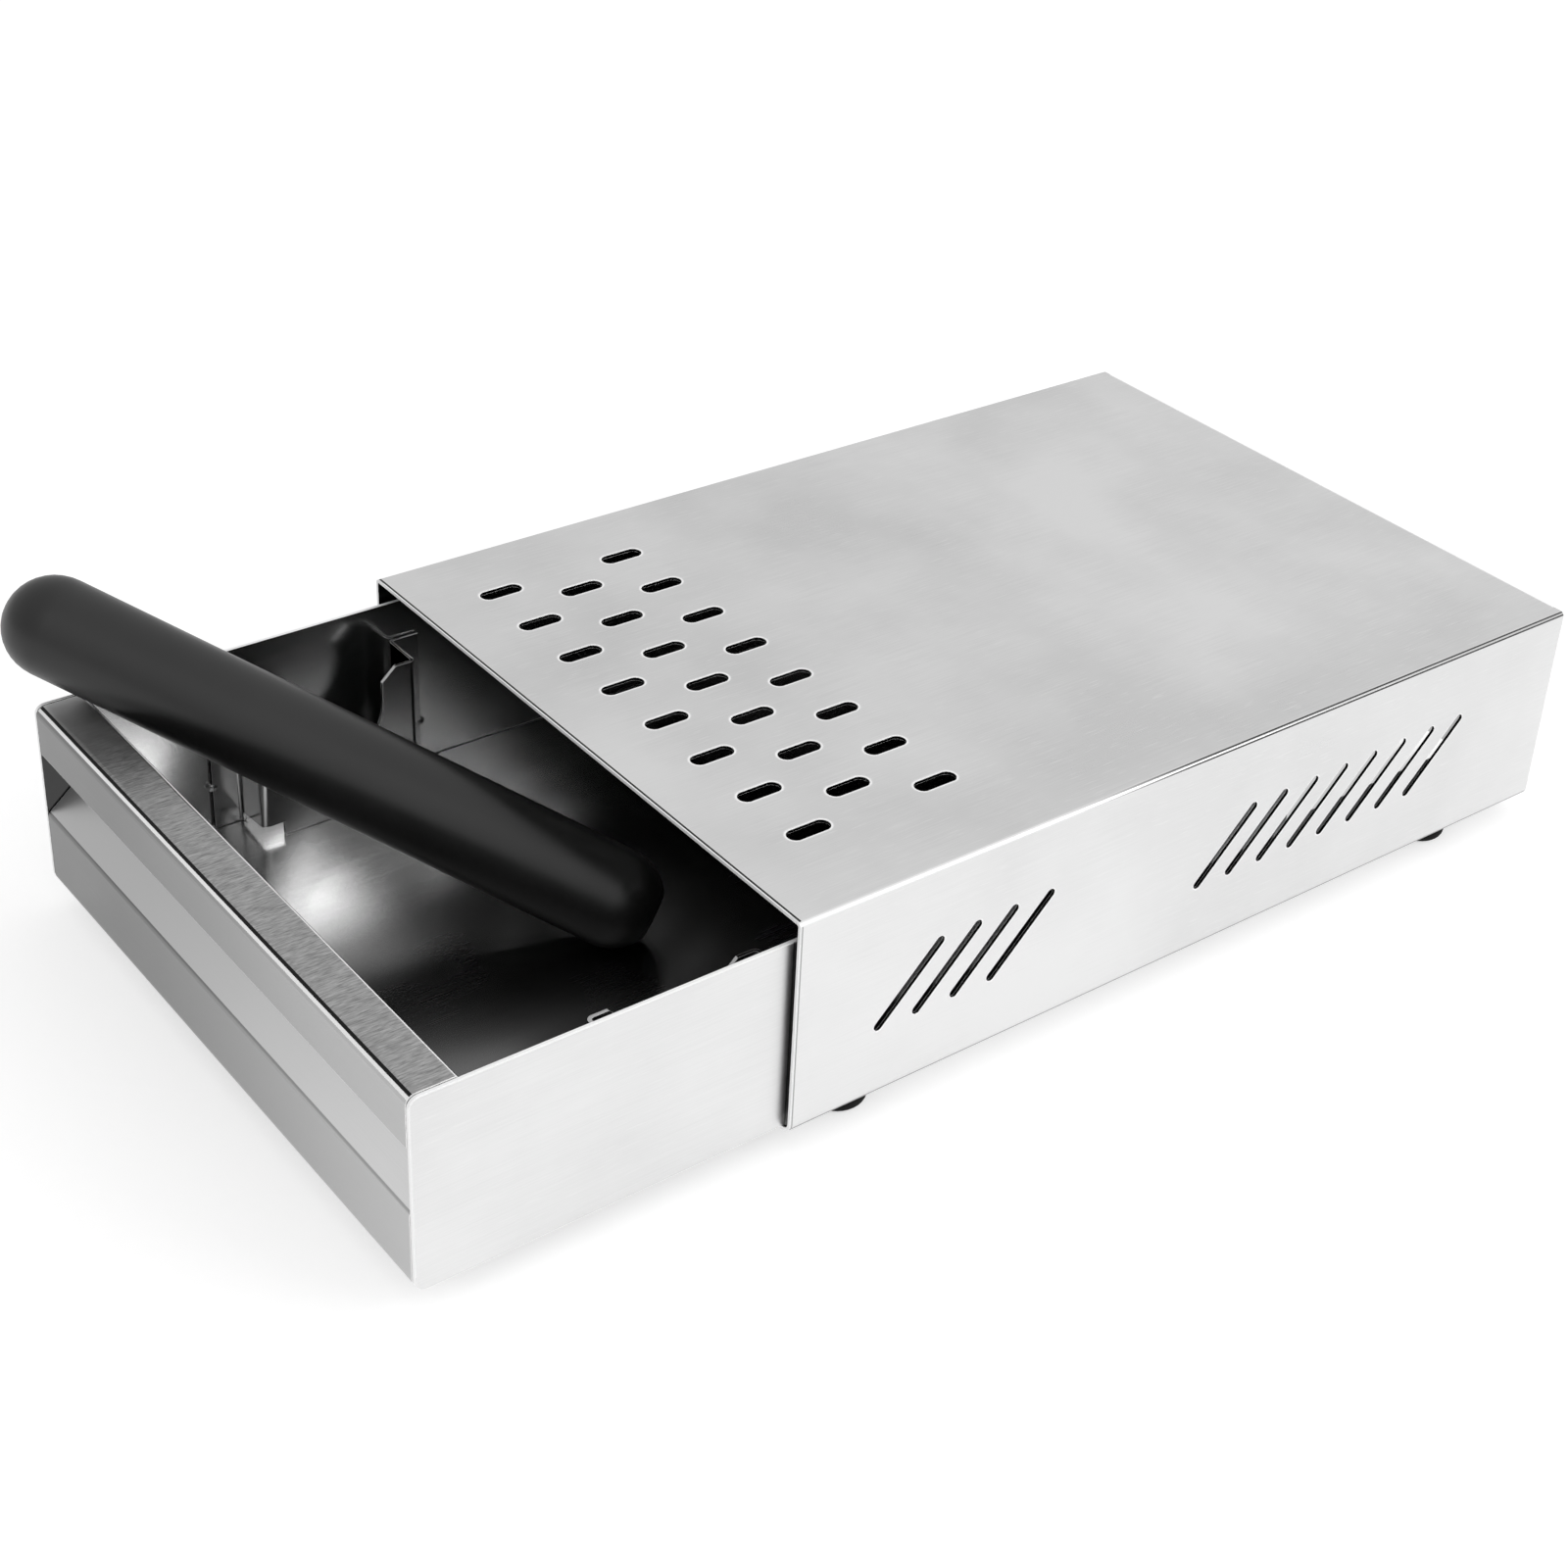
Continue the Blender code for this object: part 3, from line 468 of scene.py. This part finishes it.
def make_floor():
    """A wide white laminate table. A lift that only seen and mirrored rays get brings it to white."""
    mesh = bpy.data.meshes.new("white_table")
    bm = bmesh.new()
    bmesh.ops.create_grid(bm, x_segments=1, y_segments=1, size=FLOOR_REACH)
    bm.to_mesh(mesh)
    bm.free()
    floor = bpy.data.objects.new("white_table", mesh)
    bpy.context.scene.collection.objects.link(floor)
    material, tree, place = new_finish("matt_white_laminate")
    speck = add_node(tree, "ShaderNodeTexNoise", None,
                     {"Vector": place, "Scale": 1 / LAMINATE_SPECK, "Detail": 2.0})
    colour = add_node(tree, "ShaderNodeMix", {"data_type": "RGBA"},
                      {0: speck.outputs["Fac"], 6: linear("#C6C6C6"), 7: linear("#CACACA")})
    matt = add_node(tree, "ShaderNodeBsdfDiffuse", None, {"Color": colour.outputs[2]})
    path = add_node(tree, "ShaderNodeLightPath")
    seen = add_node(tree, "ShaderNodeMath", {"operation": "ADD"},
                    {0: path.outputs["Is Camera Ray"], 1: path.outputs["Is Glossy Ray"]})
    any_way = add_node(tree, "ShaderNodeMath", {"operation": "ADD"},
                       {0: seen.outputs[0], 1: path.outputs["Is Transmission Ray"]})
    lift = add_node(tree, "ShaderNodeMath", {"operation": "MULTIPLY"},
                    {0: any_way.outputs[0], 1: FLOOR_LIFT})
    glow = add_node(tree, "ShaderNodeEmission", None,
                    {"Color": linear("#FFFFFF"), "Strength": lift.outputs[0]})
    both = add_node(tree, "ShaderNodeAddShader", None, {0: matt.outputs[0], 1: glow.outputs[0]})
    close_finish(tree, both)
    mesh.materials.append(material)


def make_studio():
    """White studio walls, brightest to the back right, a strong softbox there and a weak one in front."""
    world = bpy.data.worlds.new("white_studio")
    bpy.context.scene.world = world
    world.use_nodes = True
    tree = world.node_tree
    tree.nodes.clear()
    way = add_node(tree, "ShaderNodeTexCoord").outputs["Generated"]
    facing = add_node(tree, "ShaderNodeVectorMath", {"operation": "DOT_PRODUCT"},
                      {0: way, 1: BRIGHT_SIDE})
    part = add_node(tree, "ShaderNodeMapRange", None,
                    {"Value": facing.outputs["Value"], "From Min": -1.0})
    curve = add_node(tree, "ShaderNodeMath", {"operation": "POWER"},
                     {0: part.outputs[0], 1: STUDIO_FALL})
    level = add_node(tree, "ShaderNodeMapRange", None,
                     {"Value": curve.outputs[0], "To Min": STUDIO_DIM, "To Max": STUDIO_BRIGHT})
    sky = add_node(tree, "ShaderNodeBackground", None,
                   {"Color": linear("#FFFFFF"), "Strength": level.outputs[0]})
    add_node(tree, "ShaderNodeOutputWorld", None, {"Surface": sky.outputs[0]})
    for name, place, size, power in SOFTBOXES:
        data = bpy.data.lights.new(name, "AREA")
        data.size = size
        data.energy = power
        lamp = bpy.data.objects.new(name, data)
        lamp.location = place
        lamp.rotation_euler = (-Vector(place)).to_track_quat("-Z", "Y").to_euler()
        bpy.context.scene.collection.objects.link(lamp)


def housing_face_kind(normal, centre):
    """Which of the housing's finishes a face gets, from where it lies and which way it looks."""
    low, high = HOUSING_BOX
    from_side = min(centre.x - low.x, high.x - centre.x)
    from_end = min(centre.y - low.y, high.y - centre.y)
    from_top = high.z - centre.z
    from_outside = min(from_side, from_top, centre.z - low.z)
    beside_a_side_slot = FOLD_MARGIN < from_top < SIDE_SLOT_FLOOR and abs(normal.x) < EDGE_ON
    beside_a_top_slot = from_side > FOLD_MARGIN and abs(normal.z) < EDGE_ON
    if abs(normal.y) > SQUARE_ON and from_end < SHEET:
        return CUT_EDGE
    if from_outside > SLOT_WALL_FAR and from_top < FLANGE_DROP:
        return HOLLOW
    if beside_a_side_slot and SLOT_WALL_NEAR < from_side < SLOT_WALL_FAR:
        return HOLLOW
    if beside_a_top_slot and SLOT_WALL_NEAR < from_top < SLOT_WALL_FAR:
        return HOLLOW
    if normal.x > SLANTED and normal.z > SLANTED:
        return FOLD if abs(normal.x - normal.z) < EDGE_ON else FOLD_BAND
    if normal.z < -SLANTED:
        return UNDERSIDE
    return FLANK if abs(normal.x) > FACING else TOP


def front_face_kind(normal, centre):
    """Which of the drawer front's finishes a face gets. Its upper folds have a band of painted highlight
    and a band of painted shade.
    """
    below = FRONT_BOX[1].z - centre.z
    if below < STRIP_FOLD_DROP and BAND_RISE < normal.z < SQUARE_ON:
        outer_half = normal.z < BAND_MIDDLE_RISE
        return BRIGHT_BAND if outer_half == (normal.y < 0) else DARK_BAND
    if normal.z > SQUARE_ON and below < STRIP_DROP:
        return STRIP
    if normal.y > SLANTED or (normal.z > UPRIGHT and centre.z < FLANGE_HEIGHT):
        return INNER
    if below > LIP_DROP and normal.z > EDGE_ON:
        return SLOPE if normal.z > SLOPE_RISE else CREASE
    return OUTSIDE


def left_plate_face_kind(normal, centre):
    """Which of the left side plate's finishes a face gets."""
    if abs(normal.x) < FACING:
        return PLATE_EDGE
    return PLATE_INSIDE if normal.x > UPRIGHT else PLATE_OUTSIDE


def right_plate_face_kind(normal, centre):
    """The right side plate's finishes mirror the left one's."""
    return left_plate_face_kind(-normal, centre)


def make_weld_spots(side, inward, finish):
    """Two rippled beads that hold a cradle's flanges to its side plate, one at each end."""
    low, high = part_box(f"cradle_{side}")
    wall = low.x if inward > 0 else high.x
    bm = bmesh.new()
    for y in (low.y + WELD_INSIDE_END, high.y - WELD_INSIDE_END):
        middle = Vector((wall + inward * WELD_OFF_WALL, y, WELD_SPOT_HEIGHT))
        for vert in bmesh.ops.create_icosphere(bm, subdivisions=3, radius=1.0)["verts"]:
            ripple = 1 + WELD_RIPPLE_SHARE * math.sin(vert.co.dot(Vector(WELD_RIPPLES)))
            vert.co = middle + vert.co * Vector(WELD_SPOT_SIZE) * ripple
    for face in bm.faces:
        face.smooth = True
    mesh = bpy.data.meshes.new(f"cradle_weld_{side}")
    bm.to_mesh(mesh)
    bm.free()
    mesh.materials.append(finish)
    beads = bpy.data.objects.new(f"cradle_weld_{side}", mesh)
    bpy.context.scene.collection.objects.link(beads)
    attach(beads, "drawer")


def dress_the_housing(flank, edge):
    """The shell's brushed outside, its inside and underside darkened with painted shade, its folds with a
    painted highlight that fades to painted shade, and the rear panel.
    """
    top = brushed_steel("brushed_stainless_top", "#EEEEEE", "#DADADA", BRUSHED_GLOSS, Y_AXIS, 0.0,
                        rim=TOP_RIM, line=TOP_PAINTED_SHADE_LINE)
    # The inside of the shell and its slot walls are painted nearly black as painted shade
    hollow = rolled_steel("painted_shade_stainless_hollow", "#343434", "#2C2C2C", DULL_GLOSS, 2.0)
    # The folds along the top's right edge: a painted highlight near the mouth, fading to painted shade
    # towards the back
    band = brushed_steel("brushed_stainless_fold_band", "#F6F6F6", "#ECECEC", BRUSHED_GLOSS, Y_AXIS, 4.0,
                         end=(*FOLD_PAINTED_SHADE, "#4A4A4A"))
    fold = brushed_steel("brushed_stainless_fold", "#F6F6F6", "#ECECEC", BRUSHED_GLOSS, Y_AXIS, 4.0,
                         end=(*FOLD_PAINTED_SHADE, "#C4C4C4"))
    # The underside fold is darkened with painted shade
    under = brushed_steel("brushed_stainless_underside_painted_shade", "#A8A8A8", "#9C9C9C", DULL_GLOSS, Y_AXIS, 4.0)
    finishes = [top, edge, flank, hollow, band, fold, under]
    dress("housing_shell", finishes, housing_face_kind, HOUSING_EDGE, CUT_EDGE)
    dress("rear_panel", [flank, edge], edge_width=SHEET_EDGE, edge_slot=1)


def dress_the_front(inside, edge):
    """The drawer front: darker towards its left end with painted shade, with a scuffed strip, paler at
    its left end with painted light, and narrow fold bands of painted highlight and painted shade.
    """
    # One bent sheet, toned face by face: painted shade darkens the upright faces and the crease, painted
    # light brightens the slope, and all of them darken towards the left end with painted shade
    front = brushed_steel("brushed_stainless_front", "#C2C2C2", "#B9B9B9", BRUSHED_GLOSS, X_AXIS, 3.0,
                          end=(*FRONT_PAINTED_SHADE, "#7B7B7B"))
    # The strip grows paler towards its left end with painted light
    strip = scuffed_steel("scuffed_stainless_strip", "#C4C4C4", "#888888", SCUFFED_GLOSS, Y_AXIS,
                          end=(*STRIP_PAINTED_LIGHT, "#ECECEC"))
    slope = brushed_steel("brushed_stainless_slope", "#FAFAFA", "#F0F0F0", BRUSHED_GLOSS, X_AXIS, 3.0,
                          end=(*FRONT_PAINTED_SHADE, "#CCCCCC"))
    # The front's fold bands: the edge finish gives a painted highlight, this nearly black one painted
    # shade
    shadow = rolled_steel("painted_shade_stainless_fold_band", "#2C2C2C", "#262626", DULL_GLOSS, 2.0)
    crease = brushed_steel("brushed_stainless_crease", "#BEBEBE", "#B4B4B4", BRUSHED_GLOSS, X_AXIS, 3.0,
                           end=(*FRONT_PAINTED_SHADE, "#727272"))
    finishes = [front, strip, inside, edge, slope, shadow, crease]
    dress("drawer_front", finishes, front_face_kind, SHEET_EDGE, BRIGHT_BAND)


def dress_the_drawer(flank, edge):
    """The drawer's front, side plates, cradles with their welds, and the floor with the back."""
    inside = rolled_steel("rolled_stainless_inside", "#C0C0C0", "#B4B4B4", ROLLED_GLOSS, 7.0)
    # The plates' inner faces darken at the front with painted shade, where they show in the recess
    plate = rolled_steel("rolled_stainless_plate", "#E4E4E4", "#D8D8D8", ROLLED_GLOSS, 7.0,
                         end=(*RECESS_PAINTED_SHADE, "#5C5C5C"))
    # The drawer floor darkens towards the right with painted shade
    floor = rolled_steel("rolled_stainless_floor", "#EEEEEE", "#D4D4D4", FLOOR_GLOSS, 7.0,
                         end=(*FLOOR_PAINTED_SHADE, "#808080"))
    dress_the_front(inside, edge)
    sides = (("left", 1, left_plate_face_kind), ("right", -1, right_plate_face_kind))
    for side, inward, face_kind in sides:
        dress(f"drawer_side_{side}", [flank, plate, edge], face_kind, SHEET_EDGE, PLATE_EDGE)
        dress(f"cradle_{side}", [inside, edge], edge_width=SMALL_EDGE, edge_slot=1)
        make_weld_spots(side, inward, inside)
    dress("drawer_base", [floor, edge], edge_width=SHEET_EDGE, edge_slot=1)


def dress_the_bar_and_feet():
    """The knock bar's rubber and core, and the feet with their screws and washers."""
    sleeve = moulded_rubber("satin_black_rubber", "#171717", "#101010", 0.38, BAR_GRAIN, 0.15, 0.5)
    feet = moulded_rubber("matt_black_rubber", "#0E0E0E", "#080808", 0.8, FOOT_GRAIN, 0.3, 0.2)
    zinc = zinc_plate("zinc_plated_steel")
    dress("bar_sleeve", [sleeve], turned=True)
    dress("bar_core", [zinc], edge_width=CORE_EDGE)
    for where in ("front_left", "front_right", "rear_left", "rear_right"):
        dress(f"foot_{where}", [feet], turned=True)
        dress(f"foot_washer_{where}", [zinc], edge_width=SMALL_EDGE)
        dress(f"foot_screw_{where}", [zinc], edge_width=SMALL_EDGE)


def dress_the_nodes():
    flank = brushed_steel("brushed_stainless_flank", "#E6E6E6", "#DADADA", BRUSHED_GLOSS, Y_AXIS, 4.0,
                          rim=FLANK_RIM, line=FLANK_PAINTED_SHADE_LINE)
    edge = deburred_and_highlit_edge("deburred_sheet_edge_painted_highlight")
    dress_the_housing(flank, edge)
    dress_the_drawer(flank, edge)
    dress_the_bar_and_feet()


make_camera()
make_floor()
make_studio()
dress_the_nodes()
bpy.context.scene.view_settings.view_transform = "Standard"
